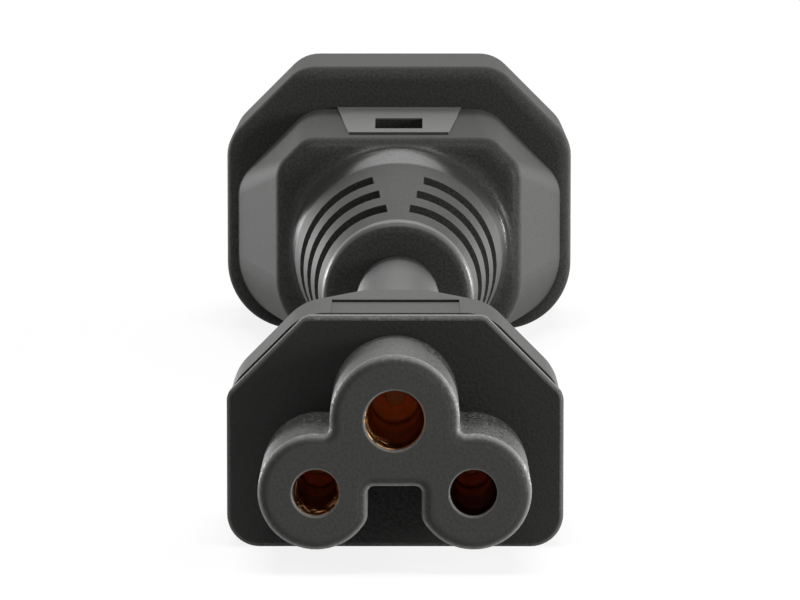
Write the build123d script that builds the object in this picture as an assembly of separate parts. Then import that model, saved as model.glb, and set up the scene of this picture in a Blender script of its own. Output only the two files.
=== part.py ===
from build123d import *
import os
from math import atan2, cos, sin, sqrt

# Short mains adapter lead: a clover socket in front, a shrouded three-blade plug behind, and a
# stub of round cable between them. The lead runs along +Y, +Z is up, and both ends lie flat on Z = 0.
# Sizes are in millimetres.

# Whole lead
overall_length = 152.0
lead_height = 7.5
mould_gap = 0.05

# Clover nose, face plate and contact block of the socket
contact_spacing = 9.32
live_height = 4.9
earth_height = 9.2
live_hole_radius = 1.4
earth_hole_radius = 1.8
nose_wall = 2.05
nose_length = 11.0
nose_rim_round = 0.7
nose_corner_round = 0.4
notch_foot_round = 1.2
notch_width = 3.2
notch_drop = 0.1
hole_bevel = 0.12
lip_thickness = 0.6
plate_width = 20.6
plate_height = 14.2
plate_thickness = 1.2
plate_corner_cut = 4.8
plate_top_round = 0.9
plate_base_round = 2.0
plate_bevel = 0.25
block_wall = 0.9
block_length = 4.8

# Rolled contacts of the socket
contact_wall = 0.3
live_bore_radius = 1.2
earth_bore_radius = 1.55
bore_length = 10.4
flare_depth = 1.2
flare_edge = 0.1
slit_width = 0.4
slit_length = 9.0
neck_length = 1.5
crimp_length = 5.5
crimp_wall = 0.45

# Moulded body of the socket
body_straight = 9.5
body_corner_cut = 4.68
body_top_round = 3.2
body_groove = 0.12
body_taper = 9.0
tail_step = 0.6
tail_corner_cut = 3.6
tail_round = 2.4
label_width = 8.0
label_length = 7.8
label_depth = 0.15
label_setback = 0.8
socket_relief_root_radius = 5.7
socket_relief_rim_radius = 4.7
socket_relief_length = 15.3

# Cable and its three conductors
jacket_radius = 3.15
jacket_wall = 0.78
jacket_tuck = 1.2
core_radius = 1.05
core_gap = 0.04
strand_radius = 0.6
strand_gap = 0.03
wire_bend_radius = 3.4
wire_lead_in = 2.2
wire_lead_out = 1.2

# Slots and spines of both strain reliefs
slot_count = 3
slot_width = 2.7
slot_floor = 1.15
socket_slot_start = 0.4
plug_slot_start = 0.95
spine_root_width = 4.9
spine_rim_width = 0.5
relief_rim_round = 0.8

# Recess, carrier cup and blades of the plug
recess_width = 24.4
recess_height = 16.7
recess_depth = 17.5
recess_corner_cut = 5.4
recess_top_round = 1.2
recess_base_round = 2.6
cup_wall = 1.0
cup_floor = 3.5
cup_setback = 0.4
boss_wall = 1.5
boss_length = 3.0
pin_spacing = 14.0
pin_rise = 2.0
blade_thickness = 2.0
blade_height = 4.0
blade_tip_bevel = 0.6
live_pin_shortfall = 2.8
earth_pin_shortfall = 1.2

# Moulded body of the plug
shroud_side_wall = 1.4
shroud_top_wall = 1.85
shroud_length = 21.2
shroud_corner_cut = 6.2
shroud_top_round = 3.2
shroud_base_round = 5.8
shroud_rear_round = 1.2
shroud_mouth_round = 0.5
grip_length = 19.2
grip_top_step = 3.5
grip_side_step = 0.7
grip_base_rise = 0.6
grip_end_width = 19.6
grip_end_top = 17.7
grip_end_corner_cut = 2.2
grip_end_top_round = 2.0
grip_edge_round = 1.3
pad_far_width = 10.7
pad_near_width = 8.1
pad_length = 16.4
pad_rise = 0.2
bar_width = 3.9
bar_length = 6.6
bar_depth = 0.85
bar_setback = 2.3
dome_middle = 9.4
dome_width = 17.6
dome_height = 15.8
dome_length = 3.5
dome_foot_round = 1.2
plug_relief_root_middle = 8.3
plug_relief_root_width = 16.6
plug_relief_root_height = 15.4
plug_relief_rim_radius = 5.65
plug_relief_length = 22.1

# Places along the lead
nose_face = -overall_length / 2
plate_face = nose_face + nose_length
plate_back = plate_face + plate_thickness
block_end = plate_back + block_length
contact_front = nose_face + lip_thickness + mould_gap
bore_end = contact_front + bore_length
socket_crimp_start = bore_end + neck_length
socket_crimp_end = socket_crimp_start + crimp_length
body_taper_start = plate_back + body_straight
body_tail = body_taper_start + body_taper
socket_relief_rim = body_tail + socket_relief_length
socket_jacket_end = body_tail - jacket_tuck
mouth = overall_length / 2
recess_floor = mouth - recess_depth
cup_back = recess_floor - cup_floor
boss_back = cup_back - boss_length
plug_crimp_start = boss_back - neck_length
plug_crimp_end = plug_crimp_start - crimp_length
shroud_rear = mouth - shroud_length
grip_start = shroud_rear + shroud_rear_round
grip_end = shroud_rear - grip_length
dome_end = grip_end - dome_length
plug_relief_rim = dome_end - plug_relief_length
plug_jacket_end = grip_end - jacket_tuck

# Places across the lead
recess_base = cup_wall + shroud_top_wall
recess_middle = recess_base + recess_height / 2
live_pin_height = recess_middle - pin_rise
earth_pin_height = recess_middle + pin_rise
shroud_width = recess_width + 2 * (cup_wall + shroud_side_wall)
shroud_height = recess_height + 2 * (cup_wall + shroud_top_wall)
grip_start_top = shroud_height - grip_top_step
core_side = core_radius + core_gap / 2
core_offset = 2 * core_side / sqrt(3)
crimp_bore_radius = strand_radius + strand_gap
crimp_radius = crimp_bore_radius + crimp_wall
lead_axis = (0, lead_height)

# The X and Z of each conductor in the socket, in the cable and in the plug
socket_place = {
    "earth": (0, earth_height),
    "line": (-contact_spacing / 2, live_height),
    "neutral": (contact_spacing / 2, live_height),
}
cable_place = {
    "earth": (0, lead_height + core_offset),
    "line": (-core_side, lead_height - core_offset / 2),
    "neutral": (core_side, lead_height - core_offset / 2),
}
plug_place = {
    "earth": (0, earth_pin_height),
    "line": (-pin_spacing / 2, live_pin_height),
    "neutral": (pin_spacing / 2, live_pin_height),
}
hole_radius = {"earth": earth_hole_radius, "line": live_hole_radius, "neutral": live_hole_radius}
bore_radius = {"earth": earth_bore_radius, "line": live_bore_radius, "neutral": live_bore_radius}
pin_shortfall = {"earth": earth_pin_shortfall, "line": live_pin_shortfall, "neutral": live_pin_shortfall}
conductors = list(socket_place)


def across(y):
    """A plane across the lead, drawn in X and Z as seen from the socket's end."""
    return Plane(origin=(0, y, 0), x_dir=(1, 0, 0), z_dir=(0, -1, 0))


def slab(outline, start, end):
    """A prism of an outline between two places along the lead."""
    return extrude(across(end) * outline, amount=end - start)


def rod(place, radius, start, end):
    """A round bar along the lead at a place given in X and Z."""
    return slab(Pos(*place) * Circle(radius), start, end)


def face_of(points):
    return make_face(Polyline(*points, close=True))


def first_face_edges(solid):
    return solid.faces().sort_by(Axis.Y)[0].edges()


def last_face_edges(solid):
    return solid.faces().sort_by(Axis.Y)[-1].edges()


def housing(width, base, top, corner_cut, top_round, base_round):
    """An outline with a flat base, two cut top corners, and every corner rounded."""
    half = width / 2
    outline = face_of(
        [
            (-half, base),
            (half, base),
            (half, top - corner_cut),
            (half - corner_cut, top),
            (corner_cut - half, top),
            (-half, top - corner_cut),
        ]
    )
    outline = fillet(outline.vertices().group_by(Axis.Y)[0], base_round)
    upper = [v for v in outline.vertices() if v.Y > top - corner_cut - mould_gap]
    return fillet(upper, top_round)


def tube_along(path, radius):
    return sweep(Plane(origin=path @ 0, z_dir=path % 0) * Circle(radius), path=path)


def wire_path(name, start, end):
    """The middle line of one conductor, from its crimp in the socket to its crimp in the plug."""
    socket_x, socket_z = socket_place[name]
    cable_x, cable_z = cable_place[name]
    plug_x, plug_z = plug_place[name]
    points = [
        (socket_x, start, socket_z),
        (socket_x, socket_crimp_end + wire_lead_in, socket_z),
        (cable_x, socket_jacket_end - wire_lead_out, cable_z),
        (cable_x, plug_jacket_end + wire_lead_out, cable_z),
        (plug_x, plug_crimp_end - wire_lead_in, plug_z),
        (plug_x, end, plug_z),
    ]
    return FilletPolyline(*points, radius=wire_bend_radius)


# Strain reliefs
def relief_sleeve(root_outline, rim_radius, root, rim):
    """The tapered sleeve of a strain relief, from the outline of its root to a round, softened rim."""
    rim_outline = Pos(*lead_axis) * Circle(rim_radius)
    sleeve = loft([across(root) * root_outline, across(rim) * rim_outline])
    rim_edges = first_face_edges(sleeve) if rim < root else last_face_edges(sleeve)
    return fillet(rim_edges, relief_rim_round)


def relief_slots(width, root, rim, start_share):
    """The side slots of a strain relief, which leave a narrowing spine above and below.

    The first slot lies the given share of a pitch from the root.
    """
    reach = width / 2 + slot_width
    spine = face_of(
        [
            (-spine_root_width / 2, root),
            (spine_root_width / 2, root),
            (spine_rim_width / 2, rim),
            (-spine_rim_width / 2, rim),
        ]
    )
    pitch = (rim - root) / (slot_count + start_share)
    ring = Pos(*lead_axis) * (Circle(reach) - Circle(jacket_radius + slot_floor))
    cutter = Part()
    for number in range(slot_count):
        middle = root + pitch * (number + start_share)
        cutter += slab(ring, middle - slot_width / 2, middle + slot_width / 2)
    return cutter - extrude(Plane.XY.offset(lead_height) * spine, amount=reach, both=True)


# Room that the moulded bodies leave for the cable
jacket_room = rod(lead_axis, jacket_radius, socket_jacket_end, plug_jacket_end)
wire_rooms = [
    tube_along(wire_path(name, socket_crimp_end, plug_crimp_end), core_radius + mould_gap)
    for name in conductors
]


# Socket
def clover():
    """The nose's outline: a lobe around each contact, with a straight notch between the lower two."""
    earth_lobe_radius = earth_hole_radius + nose_wall
    outline = Pos(*socket_place["earth"]) * Circle(earth_lobe_radius)
    for name in ("line", "neutral"):
        outline += Pos(*socket_place[name]) * Circle(live_hole_radius + nose_wall)
    notch_top = earth_height - earth_lobe_radius - notch_drop
    outline += Pos(0, notch_top + nose_wall / 2) * Rectangle(contact_spacing, nose_wall)
    outline -= Pos(0, notch_top - live_height / 2) * Rectangle(notch_width, live_height)
    feet = [v for v in outline.vertices() if v.Y < live_height]
    outline = fillet(feet, notch_foot_round)
    corners = [v for v in outline.vertices() if v.Y > live_height and abs(v.X) < contact_spacing / 2]
    return fillet(corners, nose_corner_round)


def hole_mouth(name):
    """The small bevel around the mouth of a contact hole."""
    rings = [(nose_face, hole_radius[name] + hole_bevel), (nose_face + hole_bevel, hole_radius[name])]
    return loft([across(y) * Pos(*socket_place[name]) * Circle(radius) for y, radius in rings])


def contact_room(name, start, end):
    return rod(socket_place[name], bore_radius[name] + contact_wall + mould_gap, start, end)


def contact_block(room):
    """The block behind the face plate that carries the contacts, or the room for it."""
    margin = contact_wall + block_wall + room
    width = contact_spacing + 2 * (live_bore_radius + margin)
    base = live_height - live_bore_radius - margin
    top = earth_height + earth_bore_radius + margin
    outline = Pos(0, (base + top) / 2) * RectangleRounded(width, top - base, block_wall)
    return slab(outline, plate_back, block_end + room)


def make_insert():
    nose = slab(clover(), nose_face, plate_face)
    nose = fillet(first_face_edges(nose), nose_rim_round)
    plate_outline = housing(
        plate_width, 0, plate_height, plate_corner_cut, plate_top_round, plate_base_round
    )
    plate = slab(plate_outline, plate_face, plate_back)
    plate = chamfer(first_face_edges(plate), plate_bevel)
    insert = nose + plate + contact_block(0)
    for name in conductors:
        insert -= hole_mouth(name)
        insert -= rod(socket_place[name], hole_radius[name], nose_face, plate_face)
        insert -= contact_room(name, nose_face + lip_thickness, block_end)
    return insert


def make_contact(name):
    """A rolled tube with a flared mouth and a slit, a hollow neck, and a crimp barrel on its tail."""
    inner = bore_radius[name]
    outer = inner + contact_wall
    profile = face_of(
        [
            (outer - flare_edge, contact_front),
            (outer, contact_front),
            (outer, bore_end),
            (crimp_radius, socket_crimp_start),
            (crimp_radius, socket_crimp_end),
            (crimp_bore_radius, socket_crimp_end),
            (crimp_bore_radius, socket_crimp_start),
            (inner, bore_end),
            (inner, contact_front + flare_depth),
        ]
    )
    contact = revolve(profile, Axis.Y)
    slit_middle = Pos(0, contact_front + slit_length / 2, (inner + outer) / 2)
    contact -= slit_middle * Box(slit_width, slit_length, 2 * contact_wall)
    x, z = socket_place[name]
    return Pos(x, 0, z) * contact


def make_socket_overmould():
    front = housing(
        plate_width, 0, plate_height, body_corner_cut, body_top_round, plate_base_round
    )
    tail_radius = socket_relief_root_radius + tail_step
    tail = housing(
        2 * tail_radius,
        lead_height - tail_radius,
        lead_height + tail_radius,
        tail_corner_cut,
        tail_round,
        tail_round,
    )
    straight = slab(front, plate_back, body_taper_start)
    straight = chamfer(first_face_edges(straight), body_groove)
    body = straight + loft([across(body_taper_start) * front, across(body_tail) * tail])
    label_middle = Pos(0, plate_back + label_setback + label_length / 2, plate_height)
    body -= label_middle * Box(label_width, label_length, 2 * label_depth)
    relief_root = Pos(*lead_axis) * Circle(socket_relief_root_radius)
    body += relief_sleeve(relief_root, socket_relief_rim_radius, body_tail, socket_relief_rim)
    body -= relief_slots(2 * socket_relief_root_radius, body_tail, socket_relief_rim, socket_slot_start)
    body -= contact_block(mould_gap)
    for name in conductors:
        body -= contact_room(name, plate_back, socket_crimp_end)
    for room in wire_rooms:
        body -= room
    return body - jacket_room


# Plug
def recess_outline(room):
    """The recess that takes the mating socket, or an outline that much larger all round."""
    return housing(
        recess_width + 2 * room,
        recess_base - room,
        recess_base + recess_height + room,
        recess_corner_cut + room * (2 - sqrt(2)),
        recess_top_round + room,
        recess_base_round + room,
    )


def carrier_boss(room):
    """The boss on the back of the cup that steadies the blades, or the room for it."""
    margin = boss_wall + room
    width = pin_spacing + blade_thickness + 2 * margin
    height = 2 * pin_rise + blade_height + 2 * margin
    outline = Pos(0, recess_middle) * RectangleRounded(width, height, boss_wall)
    return slab(outline, boss_back - room, cup_back)


def blade_outline(name, room):
    outline = Rectangle(blade_thickness + 2 * room, blade_height + 2 * room)
    return Pos(*plug_place[name]) * outline


def make_carrier():
    carrier = slab(recess_outline(cup_wall), cup_back, mouth - cup_setback)
    carrier -= slab(recess_outline(0), recess_floor, mouth)
    carrier += carrier_boss(0)
    for name in conductors:
        carrier -= slab(blade_outline(name, mould_gap), boss_back, recess_floor)
    return carrier


def make_pin(name):
    """A flat blade with a bevelled tip, and a crimp barrel on its tail."""
    blade = slab(blade_outline(name, 0), boss_back, mouth - pin_shortfall[name])
    blade = chamfer(last_face_edges(blade), blade_tip_bevel)
    barrel = rod(plug_place[name], crimp_radius, plug_crimp_end, boss_back)
    return blade + barrel - rod(plug_place[name], crimp_bore_radius, plug_crimp_end, plug_crimp_start)


def grip_pad():
    """A raised tapering pad on the sloping top of the plug's grip, with a plain shallow recess."""
    slope = atan2(grip_start_top - grip_end_top, grip_start - grip_end)
    slope_top = Plane(
        origin=(0, grip_start, grip_start_top),
        x_dir=(1, 0, 0),
        z_dir=(0, -sin(slope), cos(slope)),
    )
    far = 0
    near = -shroud_rear_round - pad_length
    outline = face_of(
        [
            (-pad_far_width / 2, far),
            (pad_far_width / 2, far),
            (pad_near_width / 2, near),
            (-pad_near_width / 2, near),
        ]
    )
    pad = extrude(slope_top * outline, amount=pad_rise, both=True)
    bar_middle = slope_top * Pos(0, near + bar_setback + bar_length / 2, pad_rise)
    return pad, bar_middle * Box(bar_width, bar_length, 2 * bar_depth)


def make_plug_overmould():
    shroud_outline = housing(
        shroud_width, 0, shroud_height, shroud_corner_cut, shroud_top_round, shroud_base_round
    )
    shroud = slab(shroud_outline, shroud_rear, mouth)
    shroud = fillet(first_face_edges(shroud), shroud_rear_round)
    shroud = fillet(last_face_edges(shroud), shroud_mouth_round)
    grip_far = housing(
        shroud_width - 2 * grip_side_step,
        grip_base_rise,
        grip_start_top,
        shroud_corner_cut,
        shroud_top_round,
        shroud_base_round,
    )
    grip_near = housing(
        grip_end_width,
        grip_base_rise,
        grip_end_top,
        grip_end_corner_cut,
        grip_end_top_round,
        shroud_base_round,
    )
    grip = loft([across(grip_start) * grip_far, across(grip_end) * grip_near])
    grip = fillet(first_face_edges(grip), grip_edge_round)
    pad, bar = grip_pad()
    body = shroud + grip + pad - bar
    dome_base = Pos(0, dome_middle) * Ellipse(dome_width / 2, dome_height / 2)
    relief_root = Pos(0, plug_relief_root_middle) * Ellipse(
        plug_relief_root_width / 2, plug_relief_root_height / 2
    )
    dome = loft([across(grip_end + grip_edge_round) * dome_base, across(dome_end) * relief_root])
    domed = body + dome
    body = fillet(new_edges(body, dome, combined=domed), dome_foot_round)
    body += relief_sleeve(relief_root, plug_relief_rim_radius, dome_end, plug_relief_rim)
    body -= relief_slots(plug_relief_root_width, dome_end, plug_relief_rim, plug_slot_start)
    body -= slab(recess_outline(cup_wall + mould_gap), cup_back - mould_gap, mouth)
    body -= carrier_boss(mould_gap)
    for name in conductors:
        body -= rod(plug_place[name], crimp_radius + mould_gap, plug_crimp_end, boss_back)
    for room in wire_rooms:
        body -= room
    return body - jacket_room


# Cable
def make_jacket():
    bore = rod(lead_axis, jacket_radius - jacket_wall, socket_jacket_end, plug_jacket_end)
    return jacket_room - bore


def make_insulation(name):
    covered = wire_path(name, socket_crimp_end, plug_crimp_end)
    return tube_along(covered, core_radius) - tube_along(covered, strand_radius + strand_gap)


def make_strands(name):
    return tube_along(wire_path(name, socket_crimp_start, plug_crimp_start), strand_radius)


nodes = {
    "socket_insert": make_insert(),
    "socket_overmould": make_socket_overmould(),
    "cable_jacket": make_jacket(),
    "plug_overmould": make_plug_overmould(),
    "plug_carrier": make_carrier(),
}
for name in conductors:
    nodes[f"socket_contact_{name}"] = make_contact(name)
    nodes[f"plug_pin_{name}"] = make_pin(name)
    nodes[f"wire_{name}_insulation"] = make_insulation(name)
    nodes[f"wire_{name}_strands"] = make_strands(name)

os.makedirs("parts", exist_ok=True)
for name, solid in nodes.items():
    export_step(solid, f"parts/{name}.step")
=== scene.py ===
"""Looks of a short moulded mains adapter lead: a clover socket in front, a shrouded plug behind."""

import math

import bmesh
import bpy
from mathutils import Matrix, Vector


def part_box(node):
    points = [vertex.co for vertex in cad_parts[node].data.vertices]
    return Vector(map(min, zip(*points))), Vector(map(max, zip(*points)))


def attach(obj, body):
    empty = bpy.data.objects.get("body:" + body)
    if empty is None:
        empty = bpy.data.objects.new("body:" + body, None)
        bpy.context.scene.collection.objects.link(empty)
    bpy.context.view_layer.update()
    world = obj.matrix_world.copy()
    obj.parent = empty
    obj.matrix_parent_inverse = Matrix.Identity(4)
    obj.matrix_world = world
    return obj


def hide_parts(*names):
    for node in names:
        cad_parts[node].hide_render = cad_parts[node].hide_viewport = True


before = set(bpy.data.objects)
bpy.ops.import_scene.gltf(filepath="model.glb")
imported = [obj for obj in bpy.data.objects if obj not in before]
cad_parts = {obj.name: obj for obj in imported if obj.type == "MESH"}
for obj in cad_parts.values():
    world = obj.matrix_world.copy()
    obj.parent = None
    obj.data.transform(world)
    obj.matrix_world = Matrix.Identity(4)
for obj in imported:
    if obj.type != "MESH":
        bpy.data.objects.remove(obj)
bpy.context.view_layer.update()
MM = 0.001

# Camera of the photograph: a long lens close to the lead's axis and a little above it
CAMERA_PLACE = (0.00084, -0.3682, 0.04716)
CAMERA_PITCH = 0.105
CAMERA_YAW = 0.0018
CAMERA_LENS = 225.1
CAMERA_SENSOR = 36.0
CAMERA_NEAR = 0.01
CAMERA_FAR = 100.0

# Points on the lead that the soft lights face
LEAD_MIDDLE = (0.0, 0.0, 0.0)
LEAD_FRONT = (0.0, -0.02, 0.01)
LEAD_REAR = (0.0, 0.05, 0.01)

# Floor: near the lead it is less white, so that the shadow shows there most
FLOOR_HALF = 4.0
FLOOR_COLOUR = (0.9, 0.9, 0.9, 1.0)
FLOOR_ROUGHNESS = 0.9
WHITENESS_AT_LEAD = 0.86
SHADOW_REACH = 0.12
SHADOW_END = 4 * SHADOW_REACH

# Light from all around
WHITE = (1.0, 1.0, 1.0, 1.0)
AMBIENT_STRENGTH = 0.06

# Grain of the mouldings: features per metre, relief, and the noise levels of dark and light specks
GRAIN_SCALE = 5000.0
GRAIN_DEPTH = 0.04 * MM
DARK_SPECK = 0.35
LIGHT_SPECK = 0.65
NOISE_DETAIL = 3.0
NOISE_ROUGHNESS = 0.5
FULL_RELIEF = 1.0

# Greys of the dark and light specks, on plastic that is a little warm
CHARCOAL_TINT = (1.0, 0.99, 0.94)
PLUG_GREYS = (0.018, 0.032)
SOCKET_GREYS = (0.015, 0.027)
CARRIER_GREYS = (0.016, 0.024)
SHEATH_GREYS = (0.016, 0.022)
NOSE_GREYS = (0.028, 0.042)
PLATE_GREYS = (0.012, 0.021)

# Plug: where its places end along the lead, from the rim of its strain relief up to the shroud
RELIEF_LENGTH = 22.1 * MM
DOME_LENGTH = 3.5 * MM
GRIP_LENGTH = 19.1 * MM
RELIEF_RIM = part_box("plug_overmould")[0][1]
DOME_END = RELIEF_RIM + RELIEF_LENGTH
GRIP_END = DOME_END + DOME_LENGTH
SHROUD_REAR = GRIP_END + GRIP_LENGTH
EDGE_BLEND = 0.4 * MM

# Plug: roughness of its grained and smoother places
SHROUD_ROUGHNESS = 0.66
PAD_ROUGHNESS = 0.45
DOME_ROUGHNESS = 0.28
RELIEF_ROUGHNESS = 0.58
RIM_ROUGHNESS = 0.35

# Plug: sloping top of the grip with its pad, whose paler colour is a painted sheen, and a painted
# highlight behind the relief's rim
GRIP_RISE = 1.2 * MM
GRIP_RUN = 20.4 * MM
GRIP_SLOPE = GRIP_RISE / GRIP_RUN
GRIP_TOP_AT_MIDDLE = 15.6 * MM
PAD_RISE = 0.2 * MM
# Paler grey of the pad: painted sheen
PAD_SHEEN_COLOUR = (0.080, 0.080, 0.077)
# Span of the painted highlight behind the relief's rim
RIM_HIGHLIGHT_STARTS = (1.6 * MM, 1.0 * MM)
RIM_HIGHLIGHT_ENDS = (0.3 * MM, 0.1 * MM)

# Socket: painted shade in the seam between the moulded body and the face plate
BODY_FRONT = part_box("socket_overmould")[0][1]
SEAM_WIDTH = 0.9 * MM
SEAM_FADE = 0.3 * MM
SEAM_SHADE_GREY = 0.002

# Socket insert: painted highlights along the nose's rim, around its holes and on the plate's edge (also
# behind the plug relief's rim), and painted shade just inside the nose's rim
RIM_HIGHLIGHT_GREY = (0.128, 0.127, 0.121)
EDGE_HIGHLIGHT_GREY = (0.080, 0.079, 0.075)
RIM_SHADE_GREY = 0.024

# Socket insert: distances behind the nose's face over which one zone turns into the next
NOSE_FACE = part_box("socket_insert")[0][1]
# Painted shade on the inner part of the rim's rounding, then a painted highlight on its outer part
RIM_SHADE_STARTS = (0.005 * MM, 0.04 * MM)
RIM_STARTS = (0.10 * MM, 0.36 * MM)
SIDES_START = (0.60 * MM, 0.95 * MM)
HOLE_EDGE_ENDS = (0.5 * MM, 0.3 * MM)

# Socket insert: the same behind the front of the face plate
PLATE_THICKNESS = 1.2 * MM
PLATE_FRONT = BODY_FRONT - PLATE_THICKNESS
PLATE_STARTS = (-0.80 * MM, -0.05 * MM)
# Where the painted highlight on the plate's edges begins
PLATE_EDGE_STARTS = (0.03 * MM, 0.20 * MM)

# Socket insert: noise levels with their greys on the nose's sides and with their roughness, and its sheen
SIDE_GRAIN = ((0.40, 0.006), (0.52, 0.020), (0.64, 0.080))
INSERT_ROUGHNESS = ((0.40, 0.45), (0.60, 0.75))
INSERT_GLOSS = 0.2
INSERT_GRAIN = 0.8

# Socket insert: holes of the nose and the width of the painted highlight along their edges
HOLE_RADII = {"earth": 1.8 * MM, "line": 1.4 * MM, "neutral": 1.4 * MM}
HOLE_EDGE = 0.13 * MM
FAR_FROM_HOLES = 1.0

# Contacts: copper, and how far down the bore each band of it begins; the dark mouth and the dark band are
# painted shade, the brown band is painted light
GLINT_COPPER = (0.95, 0.55, 0.26)
SHADED_COPPER = (0.225, 0.10, 0.048)
LIT_BAND_COPPER = (0.66, 0.31, 0.15)
CLEAN_COPPER = (0.95, 0.56, 0.32)
COPPER_ROUGHNESS = 0.28
COPPER_BANDS = (
    ((5.5 * MM, 7.5 * MM), LIT_BAND_COPPER),
    ((9.0 * MM, 9.8 * MM), SHADED_COPPER),
    ((10.3 * MM, 10.8 * MM), CLEAN_COPPER),
)

# Contacts: painted glints on dents near one side of the mouth: spots per metre, the dents' depth, the
# noise levels at which the glints show, and their place
DENT_AND_GLINT_SCALE = 1400.0
DENT_DEPTH = 0.4 * MM
DENT_LEVELS = ((0.40, 0.0), (0.50, 1.0))
GLINT_SIDE = (0.3 * MM, -0.7 * MM)
GLINT_DEPTH = (2.4 * MM, 1.2 * MM)

# Cable between the two strain reliefs
CABLE_DIAMETER = 6.3 * MM
CABLE_HEIGHT = 7.5 * MM
CABLE_ROUNDING = 12
CABLE_STEPS = 12


# Small helpers for node trees
def new_material(name):
    """A new material, its node tree and its surface shader."""
    material = bpy.data.materials.new(name)
    material.use_nodes = True
    tree = material.node_tree
    return material, tree, tree.nodes["Principled BSDF"]


def add_node(tree, kind, **settings):
    node = tree.nodes.new(kind)
    for key, value in settings.items():
        setattr(node, key, value)
    return node


def feeding(shader, name):
    """The output that feeds one of a shader's inputs."""
    return shader.inputs[name].links[0].from_socket


def own_place(tree):
    """Each point's place in the part's own frame, in metres."""
    return add_node(tree, "ShaderNodeTexCoord").outputs["Object"]


def own_axes(tree):
    """Each point's X, Y and Z in the part's own frame."""
    split = add_node(tree, "ShaderNodeSeparateXYZ")
    tree.links.new(own_place(tree), split.inputs["Vector"])
    return split.outputs


def math_node(tree, operation, first, second):
    """A sum, product or other operation on two values, each a socket or a number."""
    node = add_node(tree, "ShaderNodeMath", operation=operation)
    for socket, value in zip(node.inputs, (first, second)):
        if isinstance(value, float):
            socket.default_value = value
        else:
            tree.links.new(value, socket)
    return node.outputs[0]


def smooth_step(tree, value, start, end):
    """Zero where the value is at start, one where it is at end, and smooth between."""
    step = add_node(tree, "ShaderNodeMapRange", interpolation_type="SMOOTHSTEP")
    step.inputs["From Min"].default_value = start
    step.inputs["From Max"].default_value = end
    tree.links.new(value, step.inputs["Value"])
    return step.outputs["Result"]


def step_along(tree, axis, start, end):
    """A smooth step from zero to one along an axis of the part's own frame."""
    return smooth_step(tree, own_axes(tree)[axis], start, end)


def noise_on_object(tree, scale):
    """Noise in the part's own frame; scale counts features per metre."""
    noise = add_node(tree, "ShaderNodeTexNoise")
    noise.inputs["Scale"].default_value = scale
    noise.inputs["Detail"].default_value = NOISE_DETAIL
    noise.inputs["Roughness"].default_value = NOISE_ROUGHNESS
    tree.links.new(own_place(tree), noise.inputs["Vector"])
    return noise.outputs["Fac"]


def ramp(tree, value, stops):
    """A colour ramp from (position, (r, g, b)) stops."""
    node = add_node(tree, "ShaderNodeValToRGB")
    points = node.color_ramp.elements
    while len(points) < len(stops):
        points.new(1.0)
    for point, (position, colour) in zip(points, stops):
        point.position = position
        point.color = (*colour, 1.0)
    tree.links.new(value, node.inputs["Fac"])
    return node.outputs["Color"]


def level_ramp(tree, value, stops):
    """A ramp from (position, level) stops."""
    return ramp(tree, value, [(position, (level,) * 3) for position, level in stops])


def blend_colours(tree, share, first, second):
    """First colour where share is zero, second where it is one; each is a socket or an RGB triple."""
    mix = add_node(tree, "ShaderNodeMix", data_type="RGBA")
    tree.links.new(share, mix.inputs["Factor"])
    for socket, colour in ((mix.inputs[6], first), (mix.inputs[7], second)):
        if isinstance(colour, tuple):
            socket.default_value = (*colour, 1.0)
        else:
            tree.links.new(colour, socket)
    return mix.outputs[2]


def along_lead(tree, colour, datum, changes):
    """A colour that turns into others along the lead; changes are ((start, end), colour) from a datum."""
    for (start, end), other in changes:
        share = step_along(tree, "Y", datum + start, datum + end)
        colour = blend_colours(tree, share, colour, other)
    return colour


def bump(tree, height, strength, distance, normal=None):
    """Relief in the shading alone, on top of another relief if one is given."""
    node = add_node(tree, "ShaderNodeBump")
    node.inputs["Strength"].default_value = strength
    node.inputs["Distance"].default_value = distance
    tree.links.new(height, node.inputs["Height"])
    if normal is not None:
        tree.links.new(normal, node.inputs["Normal"])
    return node.outputs["Normal"]


# Finishes
def grey(value):
    return tuple(value * share for share in CHARCOAL_TINT)


def speckled(tree, grain, greys):
    """A grey that goes from its dark to its light speck with the grain."""
    dark, light = greys
    return ramp(tree, grain, [(DARK_SPECK, grey(dark)), (LIGHT_SPECK, grey(light))])


def moulded_pvc(name, greys, roughness, gloss, grain):
    """Charcoal moulding with a fine spark-eroded grain."""
    material, tree, shader = new_material(name)
    shader.inputs["Roughness"].default_value = roughness
    shader.inputs["Specular IOR Level"].default_value = gloss
    fine = noise_on_object(tree, GRAIN_SCALE)
    tree.links.new(speckled(tree, fine, greys), shader.inputs["Base Color"])
    tree.links.new(bump(tree, fine, grain, GRAIN_DEPTH), shader.inputs["Normal"])
    return material


def on_grip_pad(tree):
    """One on the raised pad of the plug's sloping grip, zero elsewhere."""
    axes = own_axes(tree)
    slope_height = math_node(tree, "MULTIPLY", axes["Y"], GRIP_SLOPE)
    above = math_node(tree, "SUBTRACT", axes["Z"], slope_height)
    raised = math_node(tree, "GREATER_THAN", above, GRIP_TOP_AT_MIDDLE + PAD_RISE / 2)
    on_grip = step_along(tree, "Y", SHROUD_REAR, SHROUD_REAR - EDGE_BLEND)
    return math_node(tree, "MULTIPLY", raised, on_grip)


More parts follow.
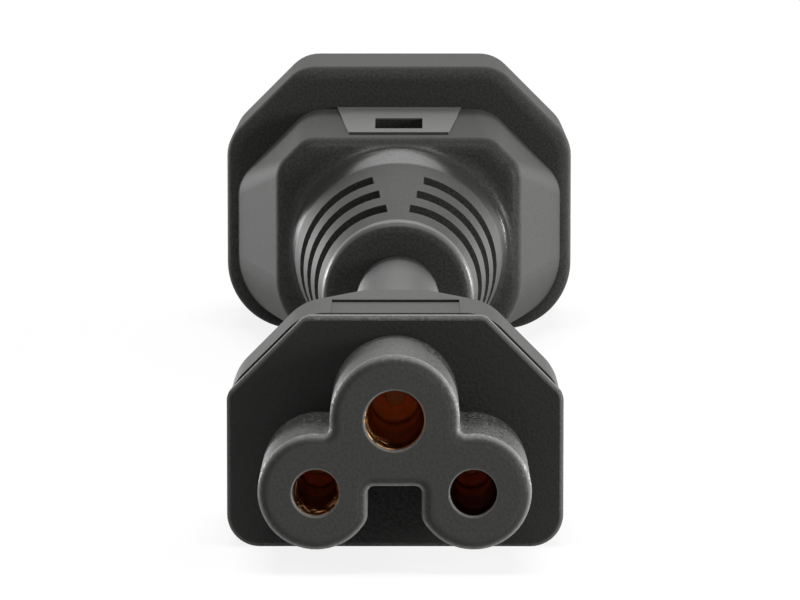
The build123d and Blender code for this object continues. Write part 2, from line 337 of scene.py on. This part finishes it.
def plug_pvc():
    """The plug's moulding: grained shroud and grip, a pad on top painted paler as its sheen, a painted
    highlight behind the relief's rim, and a smoother strain relief.
    """
    material = moulded_pvc("plug_body_pvc", PLUG_GREYS, SHROUD_ROUGHNESS, gloss=0.09, grain=0.5)
    tree = material.node_tree
    shader = tree.nodes["Principled BSDF"]
    body_colour = feeding(shader, "Base Color")
    on_pad = on_grip_pad(tree)
    # The pad's paler grey is a painted sheen of its smoother finish
    pad_sheened = blend_colours(tree, on_pad, body_colour, PAD_SHEEN_COLOUR)
    # A paler band just behind the relief's rim is a painted highlight on its rounded edge
    rim_highlight = ((RIM_HIGHLIGHT_STARTS, EDGE_HIGHLIGHT_GREY), (RIM_HIGHLIGHT_ENDS, body_colour))
    colour = along_lead(tree, pad_sheened, RELIEF_RIM, rim_highlight)
    tree.links.new(colour, shader.inputs["Base Color"])
    past_grip = step_along(tree, "Y", GRIP_END + EDGE_BLEND, GRIP_END)
    past_dome = step_along(tree, "Y", DOME_END + EDGE_BLEND, DOME_END - EDGE_BLEND)
    at_rim = step_along(tree, "Y", RELIEF_RIM + 4 * EDGE_BLEND, RELIEF_RIM + 3 * EDGE_BLEND)
    changes = (
        (on_pad, PAD_ROUGHNESS - SHROUD_ROUGHNESS),
        (past_grip, DOME_ROUGHNESS - SHROUD_ROUGHNESS),
        (past_dome, RELIEF_ROUGHNESS - DOME_ROUGHNESS),
        (at_rim, RIM_ROUGHNESS - RELIEF_ROUGHNESS),
    )
    roughness = SHROUD_ROUGHNESS
    for share, change in changes:
        roughness = math_node(tree, "ADD", roughness, math_node(tree, "MULTIPLY", share, change))
    tree.links.new(roughness, shader.inputs["Roughness"])
    return material


def socket_pvc():
    """The socket's moulding, with painted shade in the seam where it meets the face plate."""
    material = moulded_pvc("socket_body_pvc", SOCKET_GREYS, roughness=0.58, gloss=0.12, grain=0.5)
    tree = material.node_tree
    shader = tree.nodes["Principled BSDF"]
    seam_ends = (SEAM_WIDTH - SEAM_FADE, SEAM_WIDTH)
    body = ((seam_ends, feeding(shader, "Base Color")),)
    # A near-black band behind the body's front is painted shade in the seam
    seam_shaded = along_lead(tree, grey(SEAM_SHADE_GREY), BODY_FRONT, body)
    tree.links.new(seam_shaded, shader.inputs["Base Color"])
    grain = feeding(shader, "Normal")
    groove = step_along(tree, "Y", BODY_FRONT, BODY_FRONT + SEAM_WIDTH)
    tree.links.new(bump(tree, groove, FULL_RELIEF, SEAM_WIDTH, grain), shader.inputs["Normal"])
    return material


def hole_edges(tree):
    """One along the edges of the nose's three holes, zero elsewhere."""
    flat = add_node(tree, "ShaderNodeVectorMath", operation="MULTIPLY")
    flat.inputs[1].default_value = (1.0, 0.0, 1.0)
    tree.links.new(own_place(tree), flat.inputs[0])
    nearest = FAR_FROM_HOLES
    for conductor, radius in HOLE_RADII.items():
        low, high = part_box(f"socket_contact_{conductor}")
        away = add_node(tree, "ShaderNodeVectorMath", operation="DISTANCE")
        away.inputs[1].default_value = ((low[0] + high[0]) / 2, 0.0, (low[2] + high[2]) / 2)
        tree.links.new(flat.outputs[0], away.inputs[0])
        from_edge = math_node(tree, "SUBTRACT", away.outputs["Value"], radius)
        nearest = math_node(tree, "MINIMUM", nearest, from_edge)
    return smooth_step(tree, nearest, HOLE_EDGE, 0.0)


def insert_plastic():
    """Hard satin moulding: a paler nose with painted shade just inside its rim, a painted highlight along
    the rim and around the holes, and a darker plate with painted highlights on its edges.
    """
    material, tree, shader = new_material("socket_insert_plastic")
    shader.inputs["Specular IOR Level"].default_value = INSERT_GLOSS
    fine = noise_on_object(tree, GRAIN_SCALE)
    tree.links.new(level_ramp(tree, fine, INSERT_ROUGHNESS), shader.inputs["Roughness"])
    face = speckled(tree, fine, NOSE_GREYS)
    sides = ramp(tree, fine, [(position, grey(value)) for position, value in SIDE_GRAIN])
    plate = speckled(tree, fine, PLATE_GREYS)
    # Painted shade just inside the nose's rim, then a painted highlight along the rim, then the sides
    nose_zones = ((RIM_SHADE_STARTS, grey(RIM_SHADE_GREY)), (RIM_STARTS, RIM_HIGHLIGHT_GREY), (SIDES_START, sides))
    nose = along_lead(tree, face, NOSE_FACE, nose_zones)
    # Painted highlight on the plate's edges
    plate_zones = ((PLATE_STARTS, plate), (PLATE_EDGE_STARTS, EDGE_HIGHLIGHT_GREY))
    nose_and_plate = along_lead(tree, nose, PLATE_FRONT, plate_zones)
    deepest, full = HOLE_EDGE_ENDS
    near_face = step_along(tree, "Y", NOSE_FACE + deepest, NOSE_FACE + full)
    edges = math_node(tree, "MULTIPLY", hole_edges(tree), near_face)
    # Painted highlight around the holes' edges
    colour = blend_colours(tree, edges, nose_and_plate, RIM_HIGHLIGHT_GREY)
    tree.links.new(colour, shader.inputs["Base Color"])
    tree.links.new(bump(tree, fine, INSERT_GRAIN, GRAIN_DEPTH), shader.inputs["Normal"])
    return material


def contact_copper():
    """Copper with painted shade and light in bands down the bore, and painted glints on dented spots on
    one side of its mouth.
    """
    material, tree, shader = new_material("contact_copper")
    shader.inputs["Metallic"].default_value = 1.0
    shader.inputs["Roughness"].default_value = COPPER_ROUGHNESS
    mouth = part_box("socket_contact_earth")[0][1]
    # Dark and brown bands down the bore: painted shade and painted light
    shaded_bore = along_lead(tree, SHADED_COPPER, mouth, COPPER_BANDS)
    dents = noise_on_object(tree, DENT_AND_GLINT_SCALE)
    spots = level_ramp(tree, dents, DENT_LEVELS)
    one_side = step_along(tree, "X", *GLINT_SIDE)
    deepest, full = GLINT_DEPTH
    near_mouth = step_along(tree, "Y", mouth + deepest, mouth + full)
    # Bright copper in spots on one side of the mouth: painted glints
    glint_spots = math_node(tree, "MULTIPLY", spots, math_node(tree, "MULTIPLY", one_side, near_mouth))
    tree.links.new(blend_colours(tree, glint_spots, shaded_bore, GLINT_COPPER), shader.inputs["Base Color"])
    dented = math_node(tree, "MULTIPLY", dents, glint_spots)
    tree.links.new(bump(tree, dented, FULL_RELIEF, DENT_DEPTH), shader.inputs["Normal"])
    return material


def plain_finish(name, colour, roughness, metallic):
    """One even colour, as on metal or on the wires' smooth insulation."""
    material, _, shader = new_material(name)
    shader.inputs["Base Color"].default_value = (*colour, 1.0)
    shader.inputs["Roughness"].default_value = roughness
    shader.inputs["Metallic"].default_value = metallic
    return material


CARRIER_PLASTIC = moulded_pvc("plug_carrier_plastic", CARRIER_GREYS, roughness=0.45, gloss=0.25, grain=0.2)
SHEATH_PVC = moulded_pvc("cable_sheath_pvc", SHEATH_GREYS, roughness=0.45, gloss=0.2, grain=0.1)
CONTACT_COPPER = contact_copper()
STRAND_COPPER = plain_finish("strand_copper", (0.50, 0.16, 0.06), roughness=0.6, metallic=1.0)
BLADE_NICKEL = plain_finish("blade_nickel", (0.68, 0.66, 0.61), roughness=0.22, metallic=1.0)
CORE_INSULATION = {
    "earth": plain_finish("earth_insulation", (0.05, 0.30, 0.09), roughness=0.45, metallic=0.0),
    "line": plain_finish("line_insulation", (0.03, 0.03, 0.03), roughness=0.45, metallic=0.0),
    "neutral": plain_finish("neutral_insulation", (0.80, 0.80, 0.78), roughness=0.45, metallic=0.0),
}


def finish_node(node, material):
    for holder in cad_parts[node].material_slots:
        holder.material = material


finish_node("socket_insert", insert_plastic())
finish_node("socket_overmould", socket_pvc())
finish_node("plug_overmould", plug_pvc())
finish_node("plug_carrier", CARRIER_PLASTIC)
for conductor, insulation in CORE_INSULATION.items():
    finish_node(f"socket_contact_{conductor}", CONTACT_COPPER)
    finish_node(f"plug_pin_{conductor}", BLADE_NICKEL)
    finish_node(f"wire_{conductor}_strands", STRAND_COPPER)
    finish_node(f"wire_{conductor}_insulation", insulation)


# Cable
def lay_cable():
    """The round cable, straight from inside one strain relief to inside the other."""
    low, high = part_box("cable_jacket")
    route = [
        (0.0, low[1], CABLE_HEIGHT),
        (0.0, (low[1] + high[1]) / 2, CABLE_HEIGHT),
        (0.0, high[1], CABLE_HEIGHT),
    ]
    curve = bpy.data.curves.new("cable", "CURVE")
    curve.dimensions = "3D"
    curve.bevel_depth = CABLE_DIAMETER / 2
    curve.bevel_resolution = CABLE_ROUNDING
    curve.use_fill_caps = True
    spline = curve.splines.new("NURBS")
    spline.points.add(len(route) - 1)
    for point, place in zip(spline.points, route):
        point.co = (*place, 1.0)
    spline.order_u = 3
    spline.use_endpoint_u = True
    spline.resolution_u = CABLE_STEPS
    cable = bpy.data.objects.new("cable", curve)
    bpy.context.collection.objects.link(cable)
    curve.materials.append(SHEATH_PVC)
    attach(cable, "root")
    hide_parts("cable_jacket")


lay_cable()


# Stage
def white_to_the_eye(tree):
    """One for rays that come straight from the camera, a gloss or a clear surface, else zero."""
    rays = add_node(tree, "ShaderNodeLightPath")
    total = rays.outputs["Is Camera Ray"]
    for kind in ("Is Glossy Ray", "Is Transmission Ray"):
        total = math_node(tree, "MAXIMUM", total, rays.outputs[kind])
    return total


def mix_shaders(tree, share, first, second):
    """First shader where share is zero, second where it is one."""
    mix = add_node(tree, "ShaderNodeMixShader")
    tree.links.new(share, mix.inputs[0])
    tree.links.new(first.outputs[0], mix.inputs[1])
    tree.links.new(second.outputs[0], mix.inputs[2])
    return mix.outputs[0]


def floor_paper():
    """Pale paper that looks near white, and a little less so close to the lead."""
    material, tree, shader = new_material("floor_paper")
    shader.inputs["Base Color"].default_value = FLOOR_COLOUR
    shader.inputs["Roughness"].default_value = FLOOR_ROUGHNESS
    shader.inputs["Specular IOR Level"].default_value = 0.0
    distance = add_node(tree, "ShaderNodeVectorMath", operation="LENGTH")
    tree.links.new(own_place(tree), distance.inputs[0])
    whiteness = add_node(tree, "ShaderNodeMapRange")
    whiteness.inputs["From Min"].default_value = SHADOW_REACH
    whiteness.inputs["From Max"].default_value = SHADOW_END
    whiteness.inputs["To Min"].default_value = WHITENESS_AT_LEAD
    whiteness.inputs["To Max"].default_value = 1.0
    tree.links.new(distance.outputs["Value"], whiteness.inputs["Value"])
    share = math_node(tree, "MULTIPLY", white_to_the_eye(tree), whiteness.outputs["Result"])
    glow = add_node(tree, "ShaderNodeEmission")
    surface = mix_shaders(tree, share, shader, glow)
    tree.links.new(surface, tree.nodes["Material Output"].inputs["Surface"])
    return material


def lay_floor():
    """One flat sheet under the lead, which takes a soft trace of its shadow."""
    sheet = bmesh.new()
    bmesh.ops.create_grid(sheet, x_segments=1, y_segments=1, size=FLOOR_HALF)
    mesh = bpy.data.meshes.new("floor")
    sheet.to_mesh(mesh)
    sheet.free()
    mesh.materials.append(floor_paper())
    floor = bpy.data.objects.new("floor", mesh)
    bpy.context.collection.objects.link(floor)


def light_world():
    """Faint light from all around, behind which the eye sees white."""
    world = bpy.data.worlds.new("studio")
    world.use_nodes = True
    bpy.context.scene.world = world
    tree = world.node_tree
    soft = tree.nodes["Background"]
    soft.inputs["Color"].default_value = WHITE
    soft.inputs["Strength"].default_value = AMBIENT_STRENGTH
    white = add_node(tree, "ShaderNodeBackground")
    white.inputs["Color"].default_value = WHITE
    surface = mix_shaders(tree, white_to_the_eye(tree), soft, white)
    tree.links.new(surface, tree.nodes["World Output"].inputs["Surface"])


def hang_softbox(name, place, aim, width, height, power):
    """A rectangular soft light at a place, turned towards an aim point."""
    lamp = bpy.data.lights.new(name, "AREA")
    lamp.shape = "RECTANGLE"
    lamp.size = width
    lamp.size_y = height
    lamp.energy = power
    holder = bpy.data.objects.new(name, lamp)
    bpy.context.collection.objects.link(holder)
    holder.location = place
    sight = Vector(aim) - Vector(place)
    holder.rotation_euler = sight.to_track_quat("-Z", "Y").to_euler()
    holder.visible_camera = False


def set_camera():
    """The photograph's camera, turned down by its pitch from a level look along +Y."""
    camera = bpy.data.cameras.new("camera")
    camera.lens = CAMERA_LENS
    camera.sensor_width = CAMERA_SENSOR
    camera.clip_start = CAMERA_NEAR
    camera.clip_end = CAMERA_FAR
    holder = bpy.data.objects.new("camera", camera)
    bpy.context.collection.objects.link(holder)
    holder.location = CAMERA_PLACE
    holder.rotation_euler = (math.pi / 2 - CAMERA_PITCH, 0.0, CAMERA_YAW)
    bpy.context.scene.camera = holder


lay_floor()
light_world()
hang_softbox("top_softbox", (0.0, -0.12, 0.70), LEAD_MIDDLE, width=0.40, height=0.30, power=4.3)
hang_softbox("back_softbox", (0.0, 0.85, 0.75), LEAD_MIDDLE, width=0.70, height=0.40, power=3.5)
hang_softbox("left_strip", (-0.66, 0.80, 0.12), LEAD_REAR, width=0.30, height=0.20, power=6.4)
hang_softbox("right_strip", (0.72, 0.60, 0.12), LEAD_REAR, width=0.30, height=0.20, power=8.0)
hang_softbox("right_front_softbox", (0.65, -0.24, 0.13), LEAD_FRONT, width=0.25, height=0.20, power=4.8)
set_camera()
bpy.context.scene.view_settings.view_transform = "Standard"
